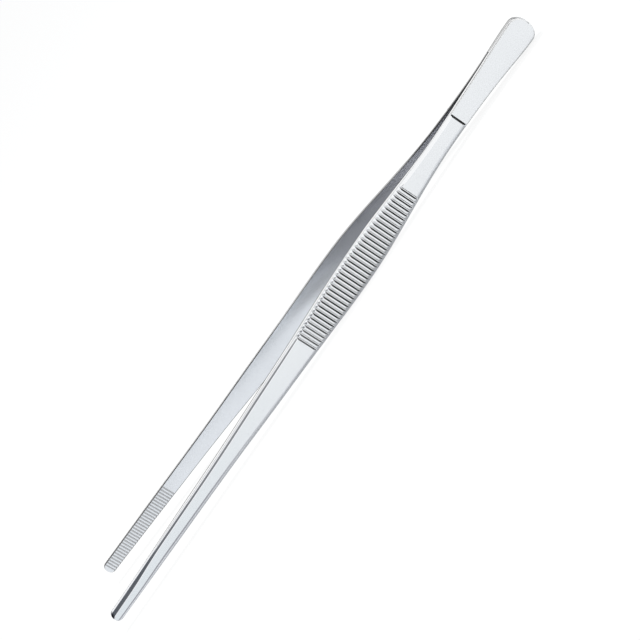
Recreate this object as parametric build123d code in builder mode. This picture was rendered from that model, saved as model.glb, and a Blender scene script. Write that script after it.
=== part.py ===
from build123d import *
from math import radians
import os

# Long spring-steel cooking tweezers, lying on their side edges, in millimetres.
# +X runs from the welded butt to the tips, +Y is the way the front arm opens and +Z is up.

# Lengths along one arm, measured on its inner face from the butt
weld_length = 19.0
spring_bend_length = 23.0
neck_bend_length = 48.0
grip_bow_length = 75.0
shank_bow_length = 135.9
palm_length = 48.1

# Turns of the arm's bow in degrees, outward first and then back towards the other arm
spring_bend_turn = 4.9
neck_bend_turn = 2.4
grip_bow_turn = -3.05
shank_bow_turn = -1.4

# Widths of the flat blank and the places where they are measured
palm_width = 12.5
palm_round_length = 4.7
shoulder_width = 8.76
waist_width = 8.5
waist_place = 60.0
grip_width = 14.4
grip_place = 120.0
tip_width = 5.6
tip_corner_radius = 2.2

# Steel strip and its ground edges
palm_thickness = 2.1
blade_thickness = 2.0
palm_edge_break = 0.35
inner_edge_break = 0.25
bevel_width = 1.45
bevel_drop = 0.5

# Groove across the shoulder, where the spring flexes
shoulder_groove_width = 0.85
shoulder_floor_width = 0.45
shoulder_groove_depth = 0.4
flex_gap = 0.15

# Ribs of the finger grip
rib_count = 38
rib_spacing = 2.01
rib_start = 84.6
rib_groove_width = 1.1
rib_floor_width = 0.4
rib_groove_depth = 0.35

# Teeth inside the jaws
tooth_count = 32
tooth_spacing = 1.445
tooth_end_margin = 2.2
tooth_groove_width = 0.8
tooth_groove_depth = 0.28

# Edge weld that joins the two palms
weld_depth = 0.8
weld_height = 0.9

# One overrun serves every cut
overrun = 1.0

# Shape of the blank's edge between the widths above: shares of length and of width
palm_edge_shares = ((0.21, 0.83), (0.48, 0.42), (0.75, 0.16))
taper_edge_shares = ((0.12, 0.866), (0.25, 0.642), (0.37, 0.495), (0.53, 0.281), (0.75, 0.143))
shoulder_slope_share = -0.02
tip_slope_share = -0.012
corner_reach_share = 0.995
stations_per_edge = 5
quarter_turn = 90


def bow_line(arcs):
    """Inner face of an arm seen from the side: a straight weld, then tangent arcs."""
    with BuildLine() as line:
        last = Line((0, 0), (weld_length, 0))
        for length, turn in arcs:
            last = JernArc(last @ 1, last % 1, length / radians(abs(turn)), turn)
    return line.wire()


flat_bow = bow_line(
    (
        (spring_bend_length, spring_bend_turn),
        (neck_bend_length, neck_bend_turn),
        (grip_bow_length, grip_bow_turn),
        (shank_bow_length, shank_bow_turn),
    )
)
palm_end = palm_length - flex_gap / 2
blade_start = palm_length + flex_gap / 2
neck_share = (palm_end - weld_length - spring_bend_length) / neck_bend_length
flat_palm_bow = bow_line(
    (
        (spring_bend_length, spring_bend_turn),
        (neck_bend_length * neck_share, neck_bend_turn * neck_share),
    )
)
strip_length = flat_bow.length
half_height = grip_width / 2
butt = Vector(-(flat_bow @ 1).X / 2, 0, half_height)
bow = flat_bow.moved(Location(butt))
cut_reach = half_height + overrun


def side_plane(distance, outward=0):
    """Side view of the strip this far from the butt and this far outward of its inner face."""
    tangent = bow.tangent_at(distance, PositionMode.LENGTH)
    normal = Vector(-tangent.Y, tangent.X, 0)
    origin = bow.position_at(distance, PositionMode.LENGTH) + normal * outward
    return Plane(origin, x_dir=tangent, z_dir=(0, 0, 1))


def section_plane(distance):
    """Plane square to the strip this far from the butt: across its width, then outward."""
    side = side_plane(distance)
    return Plane(side.origin, x_dir=(0, 0, -1), z_dir=side.x_dir)


def between(start, end, shares):
    """Points between two points of the blank's edge, from shares of length and of width."""
    points = []
    for along, wide in shares:
        points.append((start[0] + (end[0] - start[0]) * along, end[1] + (start[1] - end[1]) * wide))
    return points


# Upper edge of the flat blank: distance from the butt and half width
palm_corner = (palm_round_length, palm_width / 2)
shoulder_point = (palm_length, shoulder_width / 2)
waist_point = (waist_place, waist_width / 2)
grip_point = (grip_place, grip_width / 2)
tip_point = (strip_length, tip_width / 2)
level = (1, 0)
shoulder_tangent = (1, shoulder_slope_share)

with BuildLine() as blank_edge:
    palm_edge = Spline(
        palm_corner,
        *between(palm_corner, shoulder_point, palm_edge_shares),
        shoulder_point,
        tangents=(level, shoulder_tangent),
    )
    neck_edge = Spline(shoulder_point, waist_point, tangents=(shoulder_tangent, level))
    swell_edge = Spline(waist_point, grip_point, tangents=(level, level))
    taper_edge = Spline(
        grip_point,
        *between(grip_point, tip_point, taper_edge_shares),
        tip_point,
        tangents=(level, (1, tip_slope_share)),
    )


def half_outline(inset=0):
    """Upper half of a palm's outline in the flat, drawn in from the edge by the inset."""
    with BuildLine() as outline:
        EllipticalCenterArc(
            (palm_round_length, 0),
            palm_round_length - inset,
            palm_width / 2 - inset,
            start_angle=quarter_turn,
            arc_size=quarter_turn,
        )
        flank = palm_edge.moved(Location((0, -inset)))
        add(flank)
        past_end = palm_length + overrun
        Polyline(flank @ 1, (past_end, shoulder_width / 2 - inset), (past_end, 0), (inset, 0))
    return outline.edges()


def blade_section(half_width):
    """Ground section of a blade: flat outer face, two bevels, two walls and a broken inner edge each side."""
    face_half = half_width - bevel_width
    inner_half = half_width - inner_edge_break
    wall_top = blade_thickness - bevel_drop
    Polygon(
        (-inner_half, 0),
        (inner_half, 0),
        (half_width, inner_edge_break),
        (half_width, wall_top),
        (face_half, blade_thickness),
        (-face_half, blade_thickness),
        (-half_width, wall_top),
        (-half_width, inner_edge_break),
        align=None,
    )


def shoulder_section():
    """Outline of the groove at a blade's start: upright at the palm, sloping up to the blade's face."""
    Polygon(
        (0, overrun),
        (0, -shoulder_groove_depth),
        (shoulder_floor_width, -shoulder_groove_depth),
        (shoulder_groove_width, 0),
        (shoulder_groove_width, overrun),
        align=None,
    )


def rib_section():
    """Outline of a groove between two ribs, cut down from a face at y = 0."""
    Polygon(
        (-rib_groove_width / 2, overrun),
        (-rib_groove_width / 2, 0),
        (-rib_floor_width / 2, -rib_groove_depth),
        (rib_floor_width / 2, -rib_groove_depth),
        (rib_groove_width / 2, 0),
        (rib_groove_width / 2, overrun),
        align=None,
    )


def tooth_section():
    """Outline of a V groove cut up into a face at y = 0."""
    Polygon(
        (-tooth_groove_width / 2, -overrun),
        (tooth_groove_width / 2, -overrun),
        (tooth_groove_width / 2, 0),
        (0, tooth_groove_depth),
        (-tooth_groove_width / 2, 0),
        align=None,
    )


def blade_stations():
    """Distance from the butt and half width at each cross section of a blade."""
    stations = [(blade_start, shoulder_width / 2)]
    for edge in (neck_edge, swell_edge, taper_edge):
        for step in range(1, stations_per_edge + 1):
            point = edge @ (step / stations_per_edge)
            stations.append((point.X, point.Y))
    return stations


def corner_cutter(side):
    """Square with a quarter circle bitten out, for the tip corner on this side of the blade."""
    back = taper_edge % 1
    half_width = tip_width / 2 - tip_corner_radius * back.Y / back.X
    centre = (-tip_corner_radius, side * (half_width - tip_corner_radius * corner_reach_share))
    with Locations(centre):
        Rectangle(
            tip_corner_radius + overrun,
            tip_corner_radius + overrun,
            align=(Align.MIN, Align.MIN if side > 0 else Align.MAX),
        )
        Circle(tip_corner_radius, mode=Mode.SUBTRACT)


def looks_sideways(face):
    """True for a face that looks away from the other arm or towards it."""
    normal = face.normal_at()
    return abs(normal.Y) > abs(normal.X) and abs(normal.Y) > abs(normal.Z)


def rim_of(faces, walls):
    """Edges that these faces share with the walls round the outline."""
    return [edge for edge in faces.edges() if edge in walls.edges()]


rib_places = [rib_start + rib * rib_spacing for rib in range(rib_count)]
last_tooth = strip_length - tooth_end_margin
tooth_places = [last_tooth - tooth * tooth_spacing for tooth in range(tooth_count)]

with BuildPart() as front_arm:
    for distance, half_width in blade_stations():
        with BuildSketch(section_plane(distance)):
            blade_section(half_width)
    loft()
    # Rounded corners of the tip
    tip_side = side_plane(strip_length, blade_thickness)
    with BuildSketch(Plane(tip_side.origin, x_dir=tip_side.x_dir, z_dir=tip_side.y_dir)):
        for side in (-1, 1):
            corner_cutter(side)
    extrude(amount=-(blade_thickness + overrun), mode=Mode.SUBTRACT)
    # Groove across the shoulder, cut into the blade's end
    with BuildSketch(side_plane(blade_start, blade_thickness)):
        shoulder_section()
    extrude(amount=cut_reach, both=True, mode=Mode.SUBTRACT)
    # Ribs of the finger grip, across the outer face
    for distance in rib_places:
        with BuildSketch(side_plane(distance, blade_thickness)):
            rib_section()
    extrude(amount=cut_reach, both=True, mode=Mode.SUBTRACT)
    # Teeth of the jaw, across the inner face
    for distance in tooth_places:
        with BuildSketch(side_plane(distance)):
            tooth_section()
    extrude(amount=cut_reach, both=True, mode=Mode.SUBTRACT)

palm_plane = Plane((butt.X, 0, half_height), x_dir=(1, 0, 0), z_dir=(0, -1, 0))

# Weld bead round the butt: the palms' outline less the same outline drawn in
with BuildPart() as weld_seam:
    with BuildSketch(palm_plane):
        make_face(half_outline())
        drawn_in = make_face(half_outline(weld_depth), mode=Mode.PRIVATE)
        add(drawn_in, mode=Mode.SUBTRACT)
        mirror(about=Plane.XZ)
        Rectangle(weld_length, palm_width, align=(Align.MIN, Align.CENTER), mode=Mode.INTERSECT)
    extrude(amount=weld_height / 2, both=True)

with BuildPart() as front_palm:
    with BuildSketch(Plane((butt.X, 0, 0))):
        with BuildLine():
            add(flat_palm_bow)
            offset(amount=palm_thickness, side=Side.LEFT)
        make_face()
    extrude(amount=grip_width)
    with BuildSketch(palm_plane):
        make_face(half_outline())
        mirror(about=Plane.XZ)
    extrude(amount=-grip_width, mode=Mode.INTERSECT)
    walls = front_palm.faces().filter_by(GeomType.EXTRUSION)
    broad_faces = front_palm.faces().filter_by(looks_sideways)
    outer_faces = broad_faces.filter_by(lambda face: face.normal_at().Y > 0)
    inner_faces = broad_faces.filter_by(lambda face: face.normal_at().Y < 0)
    outer_rim = rim_of(outer_faces, walls)
    inner_rim = rim_of(inner_faces, walls)
    chamfer(outer_rim, palm_edge_break)
    chamfer(inner_rim, inner_edge_break)
    add(weld_seam.part, mode=Mode.SUBTRACT)

with BuildPart() as rear_palm:
    mirror(front_palm.part, about=Plane.XZ)

with BuildPart() as rear_arm:
    mirror(front_arm.part, about=Plane.XZ)

front_palm.part.label = "front_palm"
rear_palm.part.label = "rear_palm"
weld_seam.part.label = "weld_seam"
front_arm.part.label = "front_arm"
rear_arm.part.label = "rear_arm"

os.makedirs("parts", exist_ok=True)
export_step(front_palm.part, "parts/front_palm.step")
export_step(rear_palm.part, "parts/rear_palm.step")
export_step(weld_seam.part, "parts/weld_seam.step")
export_step(front_arm.part, "parts/front_arm.step")
export_step(rear_arm.part, "parts/rear_arm.step")
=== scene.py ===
import math

import bmesh
import bpy
from mathutils import Matrix, Vector


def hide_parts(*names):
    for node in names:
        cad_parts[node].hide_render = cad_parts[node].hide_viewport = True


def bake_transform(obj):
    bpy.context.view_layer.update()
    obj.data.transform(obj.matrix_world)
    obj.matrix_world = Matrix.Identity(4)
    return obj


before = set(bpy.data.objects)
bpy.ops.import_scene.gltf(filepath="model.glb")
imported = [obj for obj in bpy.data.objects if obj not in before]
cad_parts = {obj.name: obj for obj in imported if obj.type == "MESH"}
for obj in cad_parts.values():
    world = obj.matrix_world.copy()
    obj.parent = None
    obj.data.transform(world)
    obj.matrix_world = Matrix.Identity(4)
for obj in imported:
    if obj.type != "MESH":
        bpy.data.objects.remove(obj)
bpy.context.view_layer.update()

# Long spring-steel cooking tweezers on a pale floor. Lengths are in millimetres until a
# mesh is made, and along an arm they run from the butt on its inner face.
MM = 0.001

# Bow of one arm: a straight weld, then arcs of length and turn in degrees
WELD_LENGTH = 19.0
BOW_ARCS = ((23.0, 4.9), (48.0, 2.4), (75.0, -3.05), (135.9, -1.4))
STRIP_LENGTH = WELD_LENGTH + sum(length for length, turn in BOW_ARCS)
PALM_LENGTH = 48.1
MIDDLE_HEIGHT = 7.2

# Half widths of the strip and where they are measured
PALM_ROUND = 4.7
PALM_HALF = 6.25
SHOULDER_HALF = 4.38
WAIST_PLACE = 60.0
WAIST_HALF = 4.25
GRIP_PLACE = 120.0
GRIP_HALF = 7.2
TIP_HALF = 2.8
TIP_CORNER = 2.2
SHOULDER_SLOPE = -0.02
TIP_SLOPE = -0.012
PALM_EDGE_SHARES = ((0.21, 0.83), (0.48, 0.42), (0.75, 0.16))
TAPER_EDGE_SHARES = ((0.12, 0.866), (0.25, 0.642), (0.37, 0.495), (0.53, 0.281), (0.75, 0.143))

# Section of the strip: thickness, ground bevels and small rounds
PALM_THICK = 2.1
BLADE_THICK = 2.0
PALM_BREAK = 0.35
PALM_CROWN = 0.06
BEVEL_WIDTH = 1.45
BEVEL_DROP = 0.5
BEVEL_CROWN = 0.05
INNER_BREAK = 0.25
INNER_ROUND = 0.25
# Width up the wall of the dark line of painted shade along the inner edge
EDGE_LINE = 0.45
WALL_ROUND = 0.12
FACE_ROUND = 0.3
BREAK_ROUND = INNER_BREAK / 3
CROWN_PARTS = 3
END_BREAK = 0.1
WELD_DEPTH = 0.8
WELD_RISE = 0.45

# Draft of the front arm's upper wall, which stands further out at its inner edge, and the
# finer painted dark line of shade along that edge
DRAFT = 0.42
DRAFT_LINE = 0.38
DRAFT_START = 62.0
DRAFT_FULL = 90.0
DRAFT_FADE = 235.0
DRAFT_END = 285.0

# Hand grinding near the tip, where the upper bevel grows wider and the lower one narrower
GRIND_START = 264.0
GRIND_END = 288.0
GRIND_WIDER = 0.7
GRIND_NARROWER = 0.45
GRIND_ROUND = 0.3

# Groove across the shoulder, past half of the hinge's slit in the solids
FLEX_GAP = 0.15
SHOULDER_WIDE = 0.85
SHOULDER_FLOOR = 0.45
SHOULDER_DEEP = 0.4

# Rib grooves of the grip, each with a thin line and a wide band of painted shade, and teeth of the
# jaws, whose grooves have one side painted grey as shade
RIB_COUNT = 38
RIB_PITCH = 2.01
RIB_START = 84.35
RIB_WIDE = 1.1
RIB_FLOOR = 0.4
RIB_DEEP = 0.35
RIB_LINE = (0.34, 0.47)
RIB_SHADE = (0.04, 0.66)
TOOTH_COUNT = 32
TOOTH_PITCH = 1.445
TOOTH_MARGIN = 2.2
TOOTH_START = STRIP_LENGTH - TOOTH_MARGIN - (TOOTH_COUNT - 1) * TOOTH_PITCH
TOOTH_WIDE = 0.8
TOOTH_DEEP = 0.28

# Spacing of the cross sections and angle above which an edge stays sharp
QUARTER_TURN = 90.0
BUTT_STEPS = 16
PALM_STEP = 1.8
BLADE_STEP = 2.2
CORNER_STEPS = 12
SHARP_ANGLE = math.radians(32)

# Sweeps that settle the slopes of a spline
SPLINE_SWEEPS = 60


def clamped_spline(points, start_slope, end_slope):
    """Cubic spline through the points with a set slope at each end, as a function of x."""
    xs, ys = zip(*points)
    last = len(points) - 1
    gaps = [xs[i + 1] - xs[i] for i in range(last)]
    rises = [(ys[i + 1] - ys[i]) / gaps[i] for i in range(last)]
    slopes = [start_slope] + rises[1:] + [end_slope]
    for _ in range(SPLINE_SWEEPS):
        for i in range(1, last):
            before, after = gaps[i - 1], gaps[i]
            pull = 3 * (after * rises[i - 1] + before * rises[i])
            slopes[i] = (pull - after * slopes[i - 1] - before * slopes[i + 1]) / (2 * (before + after))

    def value(x):
        i = max(j for j in range(last) if j == 0 or x >= xs[j])
        t = (x - xs[i]) / gaps[i]
        level = ys[i] * (1 + 2 * t) * (1 - t) ** 2 + ys[i + 1] * t * t * (3 - 2 * t)
        return level + gaps[i] * t * (1 - t) * (slopes[i] * (1 - t) - slopes[i + 1] * t)

    return value


def between(start, end, shares):
    """Points of the edge between two of its widths, from shares of length and of width."""
    return [
        (start[0] + (end[0] - start[0]) * along, end[1] + (start[1] - end[1]) * wide)
        for along, wide in shares
    ]


palm_corner = (PALM_ROUND, PALM_HALF)
shoulder = (PALM_LENGTH, SHOULDER_HALF)
waist = (WAIST_PLACE, WAIST_HALF)
grip = (GRIP_PLACE, GRIP_HALF)
tip = (STRIP_LENGTH, TIP_HALF)
EDGES = (
    clamped_spline(
        [palm_corner, *between(palm_corner, shoulder, PALM_EDGE_SHARES), shoulder], 0, SHOULDER_SLOPE
    ),
    clamped_spline([shoulder, waist], SHOULDER_SLOPE, 0),
    clamped_spline([waist, grip], 0, 0),
    clamped_spline([grip, *between(grip, tip, TAPER_EDGE_SHARES), tip], 0, TIP_SLOPE),
)
EDGE_ENDS = (PALM_LENGTH, WAIST_PLACE, GRIP_PLACE, STRIP_LENGTH)


def half_width(along):
    """Half width of the flat strip past the rounded butt."""
    for end, edge in zip(EDGE_ENDS, EDGES):
        if along <= end:
            return edge(along)
    return TIP_HALF


def bow(along):
    """Place on the inner face in the side view, and the way it runs there."""
    spot = Vector((min(along, WELD_LENGTH), 0))
    heading = 0.0
    left = along - WELD_LENGTH
    for length, turn in BOW_ARCS:
        if left > 0:
            bend = math.radians(turn) / length
            ahead = heading + bend * min(left, length)
            chord = Vector((math.sin(ahead) - math.sin(heading), math.cos(heading) - math.cos(ahead)))
            spot += chord / bend
            heading = ahead
            left -= length
    return spot, Vector((math.cos(heading), math.sin(heading)))


BUTT_X = -bow(STRIP_LENGTH)[0].x / 2


def in_frame(along, across, outward, side):
    """Point of an arm in the shared frame, in metres.

    The side is 1 for the front arm and -1 for the rear one."""
    spot, heading = bow(along)
    spot += Vector((-heading.y, heading.x)) * outward
    return Vector(((BUTT_X + spot.x) * MM, side * spot.y * MM, (MIDDLE_HEIGHT + across) * MM))


# Which finish each strip of the section has
FACE, EDGE, LOWER_PAINTED_SHADE, SOFT, INNER, BREAK_PAINTED_SHADE, RIB_PAINTED_SHADE, RIB_LIGHT, TOOTH_PAINTED_SHADE, WALL = range(10)

# Steps of each small round, how much of an edge it may take, and the points across a flat face
ARC_STEPS = 2
ROUND_LIMIT_SHARE = 0.45
FACE_SHARES = (0.97, 0.6, 0.2, -0.2, -0.6, -0.97)


def soften(corners):
    """Open line of corners (across, outward, radius), each rounded by a short curve."""
    line = []
    for i, (across, outward, radius) in enumerate(corners):
        corner = Vector((across, outward))
        if radius == 0:
            line.append(corner)
            continue
        before = Vector(corners[i - 1][:2]) - corner
        after = Vector(corners[i + 1][:2]) - corner
        start = corner + before.normalized() * min(radius, before.length * ROUND_LIMIT_SHARE)
        end = corner + after.normalized() * min(radius, after.length * ROUND_LIMIT_SHARE)
        for step in range(ARC_STEPS + 1):
            t = step / ARC_STEPS
            line.append(start * (1 - t) ** 2 + corner * (2 * t * (1 - t)) + end * t * t)
    return line


def face_points(start, end):
    """Points of a flat face between its two borders."""
    middle, half = (start + end) / 2, (start - end) / 2
    return [middle + half * share for share in FACE_SHARES]


def ease(value, start, end):
    """Smooth step from 0 at start to 1 at end."""
    t = min(max((value - start) / (end - start), 0.0), 1.0)
    return t * t * (3 - 2 * t)


class Section:
    """One cross section of an arm."""

    def __init__(self, along, half, palm=False, butt_turn=QUARTER_TURN):
        self.along = along
        self.half = half
        self.palm = palm
        self.butt_turn = math.radians(butt_turn)
        self.blank = half
        self.groove = 0.0
        self.tooth = 0.0
        self.draft = 0.0
        self.line_wide = EDGE_LINE
        self.finish = FACE
        self.inner_finish = INNER

    def lean_out(self):
        """Give the upper wall its draft, which stays within the widest part of the grip."""
        grown = ease(self.along, DRAFT_START, DRAFT_FULL)
        grown *= 1 - ease(self.along, DRAFT_FADE, DRAFT_END)
        self.draft = min(DRAFT * grown, GRIP_HALF - self.half)
        # It also narrows the painted dark line along that edge
        self.line_wide += (DRAFT_LINE - EDGE_LINE) * grown

    def side(self, upper):
        """Upper or lower half of the section from its inner face round to its outer face."""
        grind = ease(self.along, GRIND_START, GRIND_END)
        if self.palm:
            thick, bevel, drop, crown = PALM_THICK, PALM_BREAK, PALM_BREAK, PALM_CROWN
        else:
            thick, crown = BLADE_THICK, BEVEL_CROWN
            bevel = BEVEL_WIDTH + grind * (GRIND_WIDER if upper else -GRIND_NARROWER)
            drop = bevel * BEVEL_DROP / BEVEL_WIDTH
        wall_round = WALL_ROUND + grind * (GRIND_ROUND if upper else 0.0)
        welded = self.palm and self.along < WELD_LENGTH
        notch = (WELD_DEPTH, WELD_RISE) if welded else (INNER_BREAK, INNER_BREAK)
        slope = drop / bevel
        top = thick - self.groove
        face = self.blank - bevel + self.groove / slope
        run = max(self.half - face, END_BREAK)
        face = self.half - run
        wall = min(thick - slope * (self.half - self.blank + bevel), top - END_BREAK)
        crown *= min(1.0, run / bevel)
        middle = ((self.half + face) / 2, (wall + top) / 2 + crown)
        draft = self.draft if upper else 0.0
        foot = self.half + draft
        line_wide = self.line_wide if upper else EDGE_LINE
        line = foot - draft * line_wide / (wall - self.tooth - notch[1])
        return soften(
            (
                (0, self.tooth, 0),
                (foot - notch[0], self.tooth, BREAK_ROUND),
                (foot, self.tooth + notch[1], INNER_ROUND),
                (line, self.tooth + notch[1] + line_wide, 0),
                (self.half, wall, wall_round),
                (*middle, bevel / CROWN_PARTS),
                (face, top, FACE_ROUND),
                (0, top, 0),
            )
        )[1:-1]

    def ring(self):
        """Closed ring of points (along, across, outward)."""
        upper = self.side(True)
        lower = [Vector((-point.x, point.y)) for point in reversed(self.side(False))]
        outer_face = face_points(upper[-1], lower[0])
        inner_face = face_points(lower[-1], upper[0])
        outline = upper + outer_face + lower + inner_face
        sin, cos = math.sin(self.butt_turn), math.cos(self.butt_turn)
        points = []
        for point in outline:
            inset = min(self.half - abs(point.x), PALM_BREAK + END_BREAK) if self.palm else 0.0
            points.append((self.along + inset * cos, point.x * sin, point.y))
        return points

    def finishes(self):
        """Finish of each strip of the ring, in the order of its points.

        A round has as many strips as steps, and there is one more between two rounds."""
        # The inner edge's break and the wall up to its line are painted as a dark line of shade, and so
        # is the bevel where the tip's corner cuts it; the lower bevel's strips next to the face are
        # painted shade
        cut_bevel = self.half < self.blank - BEVEL_WIDTH + END_BREAK
        bevel, lower_line = (BREAK_PAINTED_SHADE, BREAK_PAINTED_SHADE) if cut_bevel else (EDGE, LOWER_PAINTED_SHADE)
        if self.palm:
            bevel, lower_line = SOFT, SOFT
        broken = [BREAK_PAINTED_SHADE] * (2 * ARC_STEPS + 2) + [WALL]
        upper = broken + [bevel] * (3 * ARC_STEPS + 2)
        lower = broken + [bevel] * (2 * ARC_STEPS + 1) + [lower_line] * (ARC_STEPS + 1)
        flat = len(FACE_SHARES) + 1
        return upper + [self.finish] * flat + lower[::-1] + [self.inner_finish] * flat


def butt_sections():
    """Sections of the butt, which is half an ellipse, each narrowed by the sine of its turn."""
    found = []
    for step in range(1, BUTT_STEPS + 1):
        turn = QUARTER_TURN * step / BUTT_STEPS
        along = PALM_ROUND * (1 - math.cos(math.radians(turn)))
        found.append(Section(along, PALM_HALF, palm=True, butt_turn=turn))
    return found


def run_of(start, end, step, palm=False):
    """Sections evenly spaced from start to end, both left out."""
    count = math.ceil((end - start) / step)
    places = [start + (end - start) * i / count for i in range(1, count)]
    return [Section(along, half_width(along), palm=palm) for along in places]


def shoulder_sections():
    """Sections of the groove across the shoulder, steep on the palm's side."""
    lip = Section(PALM_LENGTH + FLEX_GAP / 2 - END_BREAK, half_width(PALM_LENGTH), palm=True)
    # The steep side and the floor of the groove are painted shade
    lip.finish = RIB_PAINTED_SHADE
    foot = PALM_LENGTH + FLEX_GAP / 2
    found = [lip]
    for offset, depth, finish in (
        (0, SHOULDER_DEEP, RIB_PAINTED_SHADE),
        (SHOULDER_FLOOR, SHOULDER_DEEP, FACE),
        (SHOULDER_WIDE, 0, FACE),
    ):
        section = Section(foot + offset, half_width(foot + offset))
        section.groove = depth
        section.finish = finish
        found.append(section)
    return found


def rib_sections():
    """Sections of the grip's grooves, each with the finish of the strip that follows it."""
    found = []
    for rib in range(RIB_COUNT):
        # Painted shade: a thin dark line on the slope at the butt's side, and a dark band from the
        # middle of the floor up the slope at the tips' side and just past its edge
        for offset, depth, finish in (
            (-RIB_WIDE / 2, 0, RIB_LIGHT),
            (-RIB_LINE[1], RIB_WIDE / 2 - RIB_LINE[1], RIB_PAINTED_SHADE),
            (-RIB_LINE[0], RIB_WIDE / 2 - RIB_LINE[0], RIB_LIGHT),
            (-RIB_FLOOR / 2, RIB_DEEP, FACE),
            (RIB_SHADE[0], RIB_DEEP, RIB_PAINTED_SHADE),
            (RIB_FLOOR / 2, RIB_DEEP, RIB_PAINTED_SHADE),
            (RIB_WIDE / 2, 0, RIB_PAINTED_SHADE),
            (RIB_SHADE[1], 0, FACE),
        ):
            along = RIB_START + rib * RIB_PITCH + offset
            section = Section(along, half_width(along))
            section.groove = depth
            section.finish = finish
            found.append(section)
    return found


def tooth_sections():
    """Sections of the pointed grooves between the jaw's teeth."""
    found = []
    # One side of each V groove, from its bottom to the next tooth, is painted grey as shade
    for tooth in range(TOOTH_COUNT):
        for offset, depth, finish in (
            (-TOOTH_WIDE / 2, 0, INNER),
            (0, TOOTH_DEEP, TOOTH_PAINTED_SHADE),
            (TOOTH_WIDE / 2, 0, INNER),
        ):
            along = TOOTH_START + tooth * TOOTH_PITCH + offset
            section = Section(along, half_width(along))
            section.tooth = depth
            section.inner_finish = finish
            found.append(section)
    return found


def rounded_tip(sections):
    """Pull the sections in to the round corners of the tip, and add more where the corners turn."""
    corner_start = STRIP_LENGTH - TIP_CORNER
    for step in range(1, CORNER_STEPS + 1):
        turn = math.radians(QUARTER_TURN * step / CORNER_STEPS)
        along = corner_start + TIP_CORNER * math.sin(turn)
        sections.append(Section(along, half_width(along)))
    sections.sort(key=lambda section: section.along)
    for section in sections:
        past = section.along - corner_start
        if past > 0:
            section.half = section.blank - TIP_CORNER + math.sqrt(max(0.0, TIP_CORNER**2 - past**2))
    return sections


def arm_sections():
    """Every cross section of an arm, from its butt to its tip."""
    first_rib = RIB_START - RIB_WIDE / 2
    last_rib = RIB_START + (RIB_COUNT - 1) * RIB_PITCH + RIB_WIDE / 2
    first_tooth = TOOTH_START - TOOTH_WIDE / 2
    found = butt_sections()
    found += run_of(PALM_ROUND, WELD_LENGTH, PALM_STEP, palm=True)
    found += run_of(WELD_LENGTH, PALM_LENGTH, PALM_STEP, palm=True)
    found += shoulder_sections()
    found += run_of(PALM_LENGTH + SHOULDER_WIDE, first_rib, BLADE_STEP)
    found += rib_sections()
    found += run_of(last_rib, first_tooth, BLADE_STEP)
    found += rounded_tip(tooth_sections())
    return found


def make_arm(name, side, finishes):
    """One whole arm from butt to tip as a closed mesh with real ribs, teeth and bevels."""
    sections = arm_sections()
    work = bmesh.new()
    strip = work.verts.layers.float_vector.new("strip")
    rings = []
    for section in sections:
        if side > 0:
            section.lean_out()
        ring = []
        for point in section.ring():
            vert = work.verts.new(in_frame(*point, side))
            vert[strip] = point
            ring.append(vert)
        rings.append(ring)
    size = len(rings[0])
    for section, ring, after in zip(sections, rings, rings[1:]):
        for i, finish in enumerate(section.finishes()):
            j = (i + 1) % size
            quad = work.faces.new((ring[i], ring[j], after[j], after[i]))
            quad.material_index = finish
    work.faces.new(rings[0]).material_index = WALL
    work.faces.new(rings[-1]).material_index = WALL
    bmesh.ops.recalc_face_normals(work, faces=work.faces)
    for face in work.faces:
        face.smooth = True
    for edge in work.edges:
        edge.smooth = edge.calc_face_angle(0) < SHARP_ANGLE
    mesh = bpy.data.meshes.new(name)
    work.to_mesh(mesh)
    work.free()
    for finish in sorted(finishes):
        mesh.materials.append(finishes[finish])
    arm = bpy.data.objects.new(name, mesh)
    bpy.context.scene.collection.objects.link(arm)
    return arm


# Grain and mottling of every steel
GRAIN_DETAIL = 4.0
CLOUD_SCALE = 0.12
MOTTLE = 0.97
BUMP_STRENGTH = 0.3


def places_in_mm(nodes, links, on_strip):
    """Node that gives places along and across the strip, or else in the object, in millimetres."""
    if on_strip:
        place = nodes.new("ShaderNodeAttribute")
        place.attribute_name = "strip"
        return place
    spot = nodes.new("ShaderNodeTexCoord")
    place = nodes.new("ShaderNodeVectorMath")
    place.operation = "SCALE"
    place.inputs["Scale"].default_value = 1 / MM
    links.new(spot.outputs["Object"], place.inputs["Vector"])
    return place


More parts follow.
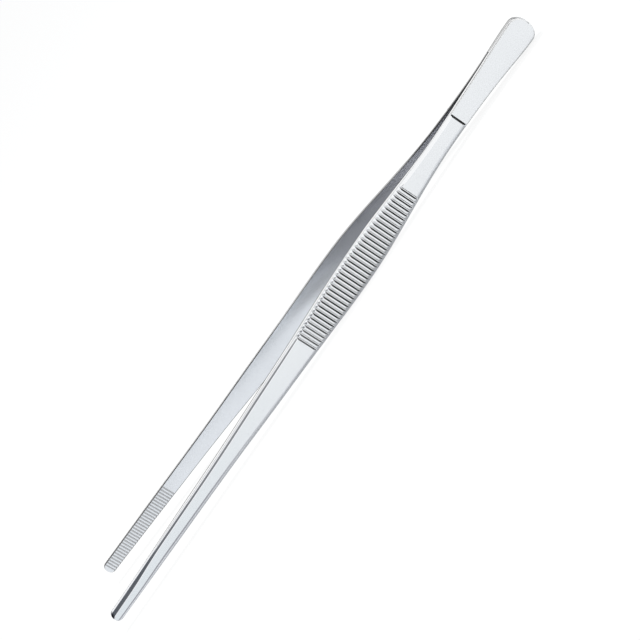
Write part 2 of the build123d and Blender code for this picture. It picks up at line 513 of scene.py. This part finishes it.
def steel(name, shades, roughness, spread, streaks, bump_depth, lean=0.0, on_strip=True):
    """Brushed steel, whose streaks are the counts of its fine lines to a millimetre each way.

    Its shades are colours at places along the strip, which may lean across it."""
    material = bpy.data.materials.new(name)
    material.use_nodes = True
    nodes, links = material.node_tree.nodes, material.node_tree.links
    shader = nodes["Principled BSDF"]
    shader.inputs["Metallic"].default_value = 1.0

    place = places_in_mm(nodes, links, on_strip)
    stretch = nodes.new("ShaderNodeMapping")
    stretch.inputs["Scale"].default_value = streaks
    links.new(place.outputs["Vector"], stretch.inputs["Vector"])
    grain = nodes.new("ShaderNodeTexNoise")
    grain.inputs["Scale"].default_value = 1.0
    grain.inputs["Detail"].default_value = GRAIN_DETAIL
    links.new(stretch.outputs["Vector"], grain.inputs["Vector"])
    cloud = nodes.new("ShaderNodeTexNoise")
    cloud.inputs["Scale"].default_value = CLOUD_SCALE
    links.new(place.outputs["Vector"], cloud.inputs["Vector"])

    rough = nodes.new("ShaderNodeMapRange")
    rough.inputs["To Min"].default_value = roughness - spread
    rough.inputs["To Max"].default_value = roughness + spread
    links.new(grain.outputs["Fac"], rough.inputs["Value"])
    links.new(rough.outputs["Result"], shader.inputs["Roughness"])

    run = nodes.new("ShaderNodeVectorMath")
    run.operation = "DOT_PRODUCT"
    links.new(place.outputs["Vector"], run.inputs[0])
    run.inputs[1].default_value = (1 / STRIP_LENGTH, lean / STRIP_LENGTH, 0)
    tint = nodes.new("ShaderNodeValToRGB")
    links.new(run.outputs["Value"], tint.inputs["Fac"])
    stops = tint.color_ramp.elements
    while len(stops) < len(shades):
        stops.new(1.0)
    for stop, (along, colour) in zip(stops, shades):
        stop.position = along / STRIP_LENGTH
        stop.color = (*colour, 1)
    mottle = nodes.new("ShaderNodeMix")
    mottle.data_type = "RGBA"
    mottle.blend_type = "MULTIPLY"
    mottle.inputs["B"].default_value = (MOTTLE, MOTTLE, MOTTLE, 1)
    links.new(cloud.outputs["Fac"], mottle.inputs["Factor"])
    links.new(tint.outputs["Color"], mottle.inputs["A"])
    links.new(mottle.outputs["Result"], shader.inputs["Base Color"])

    bump = nodes.new("ShaderNodeBump")
    bump.inputs["Strength"].default_value = BUMP_STRENGTH
    bump.inputs["Distance"].default_value = bump_depth * MM
    links.new(grain.outputs["Fac"], bump.inputs["Height"])
    links.new(bump.outputs["Normal"], shader.inputs["Normal"])
    return material


# Streaks to a millimetre along, across and out of the strip, or along each axis of the weld
LONG_LINES = (0.06, 5, 5)
POLISHED = (0.05, 3, 3)
CROSS_LINES = (2, 0.5, 2)
BREAK_LINES = (0.5, 5, 5)
WELD_LINES = (4, 4, 0.5)

# The corner of the tips is painted dark between these places, which lean across the strip, as painted
# shade
TIP_BRIGHT = 299.8
TIP_DARK = 300.1
TIP_PAINTED_SHADE = (0.06, 0.06, 0.08)
TIP_LEAN = 0.5
SHADES_END = 300


def greys(*stops):
    """Shades from grey levels at places along the strip."""
    return tuple((place, (level, level, level)) for place, level in stops)


def plain(level):
    """The same grey all along the strip."""
    return greys((0, level), (SHADES_END, level))


finishes = {
    # Painted shade: the outer face turns a little darker and bluer towards the tips
    FACE: steel(
        "steel_satin_face_painted_shade",
        shades=((140, (0.97, 0.975, 0.98)), (SHADES_END, (0.9, 0.94, 0.965))),
        roughness=0.16, spread=0.04, streaks=LONG_LINES, bump_depth=0.004,
    ),
    # Painted shade on the corner of the tips
    EDGE: steel(
        "steel_polished_edge_painted_tip_shade",
        shades=((0, (0.95, 0.96, 0.97)), (TIP_BRIGHT, (0.93, 0.94, 0.97)), (TIP_DARK, TIP_PAINTED_SHADE)),
        roughness=0.08, spread=0.03, streaks=POLISHED, bump_depth=0.002, lean=TIP_LEAN,
    ),
    # Painted shade on the lower bevel's part next to the face, darker towards the tips, for the
    # shadowed floor it mirrors
    LOWER_PAINTED_SHADE: steel(
        "steel_lower_edge_painted_shade",
        shades=((180, (0.85, 0.86, 0.88)), (235, (0.42, 0.42, 0.45))),
        roughness=0.08, spread=0.03, streaks=POLISHED, bump_depth=0.002,
    ),
    SOFT: steel(
        "steel_palm_edge", shades=plain(0.97),
        roughness=0.5, spread=0.08, streaks=LONG_LINES, bump_depth=0.004,
    ),
    # Painted shade: the inner face darkens between the arms past the neck, with a boundary that leans
    # across the strip, and turns brighter and bluer towards the tips
    INNER: steel(
        "steel_satin_inner_painted_shade",
        shades=(
            (50, (0.76, 0.765, 0.79)),
            (88, (0.77, 0.775, 0.8)),
            (118, (0.52, 0.525, 0.545)),
            (136, (0.6, 0.61, 0.63)),
            (153, (0.9, 0.92, 0.95)),
        ),
        roughness=0.2, spread=0.04, streaks=LONG_LINES, bump_depth=0.004, lean=-2.5,
    ),
    # Painted shade of the grooves: near black, a little lighter in the shoulder's groove and over the
    # last ribs
    RIB_PAINTED_SHADE: steel(
        "steel_groove_painted_shade", shades=greys((60, 0.05), (84, 0.004), (147, 0.004), (153, 0.18)),
        roughness=0.5, spread=0.08, streaks=CROSS_LINES, bump_depth=0.01,
    ),
    RIB_LIGHT: steel(
        "steel_groove_light", shades=plain(0.97),
        roughness=0.8, spread=0.1, streaks=CROSS_LINES, bump_depth=0.01,
    ),
    # Painted shade on one side of each tooth groove
    TOOTH_PAINTED_SHADE: steel(
        "steel_tooth_painted_shade", shades=plain(0.56),
        roughness=0.35, spread=0.08, streaks=CROSS_LINES, bump_depth=0.01,
    ),
}
front_finishes = {
    # Darker over the weld at the butt, and painted shade on the corner of the tips
    WALL: steel(
        "steel_front_wall_painted_shade",
        shades=(
            (14, (0.8, 0.81, 0.82)),
            (22, (0.98, 0.985, 0.99)),
            (TIP_BRIGHT, (0.98, 0.985, 0.99)),
            (TIP_DARK, TIP_PAINTED_SHADE),
        ),
        roughness=0.1, spread=0.03, streaks=POLISHED, bump_depth=0.002, lean=TIP_LEAN,
    ),
    # Painted shade: a near-black line along the front arm's inner edge
    BREAK_PAINTED_SHADE: steel(
        "steel_front_break_painted_shade", shades=greys((0, 0.1), (SHADES_END, 0.12)),
        roughness=0.3, spread=0.08, streaks=BREAK_LINES, bump_depth=0.004,
    ),
}
rear_finishes = {
    # Painted shade: the rear arm's upper wall is darker from the butt to past the middle of the arm
    WALL: steel(
        "steel_rear_wall_painted_shade", shades=greys((118, 0.5), (155, 0.96)),
        roughness=0.1, spread=0.03, streaks=POLISHED, bump_depth=0.002,
    ),
    # Painted shade: a dark line along the rear arm's inner edge, lighter along the middle of the arm
    BREAK_PAINTED_SHADE: steel(
        "steel_rear_break_painted_shade", shades=greys((68, 0.1), (80, 0.45), (160, 0.45), (178, 0.2)),
        roughness=0.3, spread=0.08, streaks=BREAK_LINES, bump_depth=0.004,
    ),
}
weld_steel = steel(
    "steel_weld_ground", shades=plain(0.82),
    roughness=0.3, spread=0.08, streaks=WELD_LINES, bump_depth=0.006, on_strip=False,
)

# Stretch of the neck past the butt; its end points on each arm are worked out below but not used
FLEX_START = 30.0
FLEX_END = 80.0
for name, side, own_finishes, palm, blade, body in (
    ("front_strip", 1, front_finishes, "front_palm", "front_arm", "front_jaw"),
    ("rear_strip", -1, rear_finishes, "rear_palm", "rear_arm", "rear_jaw"),
):
    arm = make_arm(name, side, {**finishes, **own_finishes})
    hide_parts(palm, blade)
    start = in_frame(FLEX_START, 0, PALM_THICK / 2, side)
    end = in_frame(FLEX_END, 0, BLADE_THICK / 2, side)
    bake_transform(arm)


def parts_of(node):
    """Objects of a CAD node."""
    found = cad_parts[node]
    return found if isinstance(found, (list, tuple)) else [found]


for part in parts_of("weld_seam"):
    for slot in part.material_slots:
        slot.material = weld_steel


# A ray whose count of matt bounces is below this has met none
NO_MATT_BOUNCE = 0.5


class Graph:
    """Small helper that adds and joins maths nodes in one node tree."""

    def __init__(self, tree):
        self.nodes = tree.nodes
        self.links = tree.links

    def put(self, value, socket):
        """Set the socket to a number, or join it to another node's output."""
        if isinstance(value, (int, float)):
            socket.default_value = value
        else:
            self.links.new(value, socket)

    def maths(self, operation, *values):
        """Output of a new maths node."""
        node = self.nodes.new("ShaderNodeMath")
        node.operation = operation
        for value, socket in zip(values, node.inputs):
            self.put(value, socket)
        return node.outputs["Value"]

    def fade(self, value, start, end):
        """Smooth step from 0 at start to 1 at end."""
        node = self.nodes.new("ShaderNodeMapRange")
        node.interpolation_type = "SMOOTHSTEP"
        self.put(value, node.inputs["Value"])
        self.put(start, node.inputs["From Min"])
        self.put(end, node.inputs["From Max"])
        return node.outputs["Result"]

    def ramp(self, value, places, levels):
        """Straight lines between levels from 0 to 1 that are set at places along the value."""
        share = self.nodes.new("ShaderNodeMapRange")
        self.put(value, share.inputs["Value"])
        self.put(places[0], share.inputs["From Min"])
        self.put(places[-1], share.inputs["From Max"])
        node = self.nodes.new("ShaderNodeValToRGB")
        self.links.new(share.outputs["Result"], node.inputs["Fac"])
        stops = node.color_ramp.elements
        while len(stops) < len(places):
            stops.new(1.0)
        for stop, place, level in zip(stops, places, levels):
            stop.position = (place - places[0]) / (places[-1] - places[0])
            stop.color = (level, level, level, 1)
        return node.outputs["Color"]

    def seen(self, by_camera=1.0, by_metal=1.0):
        """One value for rays from the camera, one for rays from metal, and 0 for falling light."""
        path = self.nodes.new("ShaderNodeLightPath")
        camera = self.maths("MULTIPLY", path.outputs["Is Camera Ray"], by_camera)
        first = self.maths("LESS_THAN", path.outputs["Diffuse Depth"], NO_MATT_BOUNCE)
        metal = self.maths("MULTIPLY", path.outputs["Is Glossy Ray"], first)
        return self.maths("MAXIMUM", camera, self.maths("MULTIPLY", metal, by_metal))

    def patch(self, value, low, high, softness):
        """1 between low and high, fading to 0 over the softness outside them."""
        rise = self.fade(value, low - softness, low)
        fall = self.fade(value, high + softness, high)
        return self.maths("MULTIPLY", rise, fall)


WHITE = (1.0, 1.0, 1.0, 1)

# Pale floor: plain pale paint, whitened where it is seen so that its shadows stay faint. In
# polished metal it is whitened from near to far, by its distance from the object's middle line.
FLOOR_REACH = 3.0
FLOOR_COLOUR = (0.84, 0.86, 0.88, 1)
FLOOR_ROUGH = 0.95
FLOOR_GLOW = 1.08
FLOOR_SEEN = 0.82
FLOOR_NEAR = 0.07
FLOOR_FAR = 0.16


def make_floor():
    """Flat floor with its shadows kept faint."""
    mesh = bpy.data.meshes.new("floor")
    work = bmesh.new()
    bmesh.ops.create_grid(work, x_segments=2, y_segments=2, size=FLOOR_REACH)
    work.to_mesh(mesh)
    work.free()
    floor = bpy.data.objects.new("floor", mesh)
    bpy.context.scene.collection.objects.link(floor)
    paint = bpy.data.materials.new("pale_floor")
    paint.use_nodes = True
    graph = Graph(paint.node_tree)
    matt = graph.nodes["Principled BSDF"]
    matt.inputs["Base Color"].default_value = FLOOR_COLOUR
    matt.inputs["Roughness"].default_value = FLOOR_ROUGH
    matt.inputs["Specular IOR Level"].default_value = 0.0
    glow = graph.nodes.new("ShaderNodeEmission")
    glow.inputs["Color"].default_value = WHITE
    glow.inputs["Strength"].default_value = FLOOR_GLOW
    mix = graph.nodes.new("ShaderNodeMixShader")
    place = graph.nodes.new("ShaderNodeTexCoord")
    split = graph.nodes.new("ShaderNodeSeparateXYZ")
    graph.links.new(place.outputs["Object"], split.inputs["Vector"])
    far = graph.fade(graph.maths("ABSOLUTE", split.outputs["Y"]), FLOOR_NEAR, FLOOR_FAR)
    graph.put(graph.seen(FLOOR_SEEN, far), mix.inputs["Fac"])
    graph.links.new(matt.outputs["BSDF"], mix.inputs[1])
    graph.links.new(glow.outputs["Emission"], mix.inputs[2])
    graph.links.new(mix.outputs["Shader"], graph.nodes["Material Output"].inputs["Surface"])
    mesh.materials.append(paint)


# Studio: white all round, with dark cards that bright steel mirrors as thin lines. Each card
# is a patch of the sky in degrees: from one compass to another, counted from +X towards +Y,
# and from its foot to its top above the floor.
CEILING_GAP = (10.0, 160.0, 50.0, 82.0)
BACK_FOOT = (-180.0, 0.0, 0.0, 6.0)
CARD_SOFTNESS = 2.5
CARD_COLOUR = (0.05, 0.06, 0.075, 1)
SKY_LIGHT = 0.6
ZENITH = 90.0

# The low card on the tips' side: compass, height of its top edge, and how dark it is
LOW_CARD = (
    (30.0, 40.0, 0.95),
    (74.0, 28.0, 0.95),
    (76.0, 24.0, 0.9),
    (79.0, 22.0, 0.86),
    (82.0, 23.5, 0.77),
    (84.5, 21.5, 0.82),
    (86.5, 17.0, 0.77),
    (88.0, 12.0, 0.6),
)
LOW_CARD_FOOT = 1.0


def low_card(graph, compass, height):
    """Mask of the low card, whose top edge slopes."""
    places, tops, shades = zip(*LOW_CARD)
    share = graph.ramp(compass, places, [top / ZENITH for top in tops])
    top = graph.maths("MULTIPLY", share, ZENITH)
    shade = graph.ramp(compass, places, shades)
    clear = graph.maths("ADD", top, CARD_SOFTNESS)
    solid = graph.maths("SUBTRACT", top, CARD_SOFTNESS)
    under = graph.fade(height, clear, solid)
    above_foot = graph.fade(height, LOW_CARD_FOOT, LOW_CARD_FOOT + CARD_SOFTNESS)
    across = graph.patch(compass, places[0], places[-1], CARD_SOFTNESS)
    tall = graph.maths("MULTIPLY", under, above_foot)
    return graph.maths("MULTIPLY", tall, graph.maths("MULTIPLY", across, shade))


def make_studio():
    """World that lights the object evenly and shows its cards to polished metal."""
    world = bpy.data.worlds.new("studio")
    bpy.context.scene.world = world
    world.use_nodes = True
    graph = Graph(world.node_tree)
    way = graph.nodes.new("ShaderNodeTexCoord")
    split = graph.nodes.new("ShaderNodeSeparateXYZ")
    graph.links.new(way.outputs["Generated"], split.inputs["Vector"])
    x, y, z = (split.outputs[axis] for axis in "XYZ")
    compass = graph.maths("DEGREES", graph.maths("ARCTAN2", y, x))
    height = graph.maths("DEGREES", graph.maths("ARCSINE", z))
    dark = low_card(graph, compass, height)
    for first, last, low, high in (CEILING_GAP, BACK_FOOT):
        across = graph.patch(compass, first, last, CARD_SOFTNESS)
        card = graph.maths("MULTIPLY", across, graph.patch(height, low, high, CARD_SOFTNESS))
        dark = graph.maths("MAXIMUM", dark, card)

    # Only polished metal sees the cards: the camera sees white, and falling light is even
    dark = graph.maths("MULTIPLY", dark, graph.seen(0.0, 1.0))
    colour = graph.nodes.new("ShaderNodeMix")
    colour.data_type = "RGBA"
    graph.links.new(dark, colour.inputs["Factor"])
    colour.inputs["A"].default_value = WHITE
    colour.inputs["B"].default_value = CARD_COLOUR
    back = graph.nodes["Background"]
    graph.links.new(colour.outputs["Result"], back.inputs["Color"])
    level = graph.nodes.new("ShaderNodeMapRange")
    graph.put(graph.seen(), level.inputs["Value"])
    level.inputs["To Min"].default_value = SKY_LIGHT
    level.inputs["To Max"].default_value = 1.0
    graph.links.new(level.outputs["Result"], back.inputs["Strength"])


# Softbox high above the object. It isn't mirrored, because it would dot the small rounds.
LAMP_PLACE = Vector((-0.13, -0.28, 0.95))
LAMP_AIM = Vector((-0.03, 0, 0))
LAMP_SIZE = 0.2
LAMP_POWER = 4.6


def make_softbox():
    """Square lamp that adds to the even light and gives the floor its faint shadow."""
    lamp = bpy.data.lights.new("top_softbox", "AREA")
    lamp.shape = "RECTANGLE"
    lamp.size = LAMP_SIZE
    lamp.size_y = LAMP_SIZE
    lamp.energy = LAMP_POWER
    box = bpy.data.objects.new("top_softbox", lamp)
    box.location = LAMP_PLACE
    box.rotation_euler = (LAMP_AIM - LAMP_PLACE).to_track_quat("-Z", "Y").to_euler()
    box.visible_glossy = False
    bpy.context.scene.collection.objects.link(box)


# Camera, fitted to the outlines in the photograph
CAMERA_PLACE = Vector((-0.14885, 0.78519, 0.27042))
CAMERA_AIM = Vector((-0.00260, 0.01166, 0.0072))
CAMERA_ROLL = math.radians(-57.396)
SENSOR_WIDTH = 36.0
CAMERA_LENS = 113.41
IMAGE_PIXELS = 640
HALF_PIXEL = 0.5 / IMAGE_PIXELS


def make_camera():
    """Camera that looks along its aim, rolled about it and shifted by half a pixel."""
    forward = (CAMERA_AIM - CAMERA_PLACE).normalized()
    level = forward.cross(Vector((0, 0, 1))).normalized()
    upright = level.cross(forward)
    right = level * math.cos(CAMERA_ROLL) + upright * math.sin(CAMERA_ROLL)
    up = upright * math.cos(CAMERA_ROLL) - level * math.sin(CAMERA_ROLL)
    lens = bpy.data.cameras.new("camera")
    lens.sensor_width = SENSOR_WIDTH
    lens.lens = CAMERA_LENS
    lens.shift_x = -HALF_PIXEL
    lens.shift_y = HALF_PIXEL
    camera = bpy.data.objects.new("camera", lens)
    turn = Matrix((right, up, -forward)).transposed().to_4x4()
    camera.matrix_world = Matrix.Translation(CAMERA_PLACE) @ turn
    bpy.context.scene.collection.objects.link(camera)
    bpy.context.scene.camera = camera


make_floor()
make_studio()
make_softbox()
make_camera()
bpy.context.scene.view_settings.view_transform = "Standard"
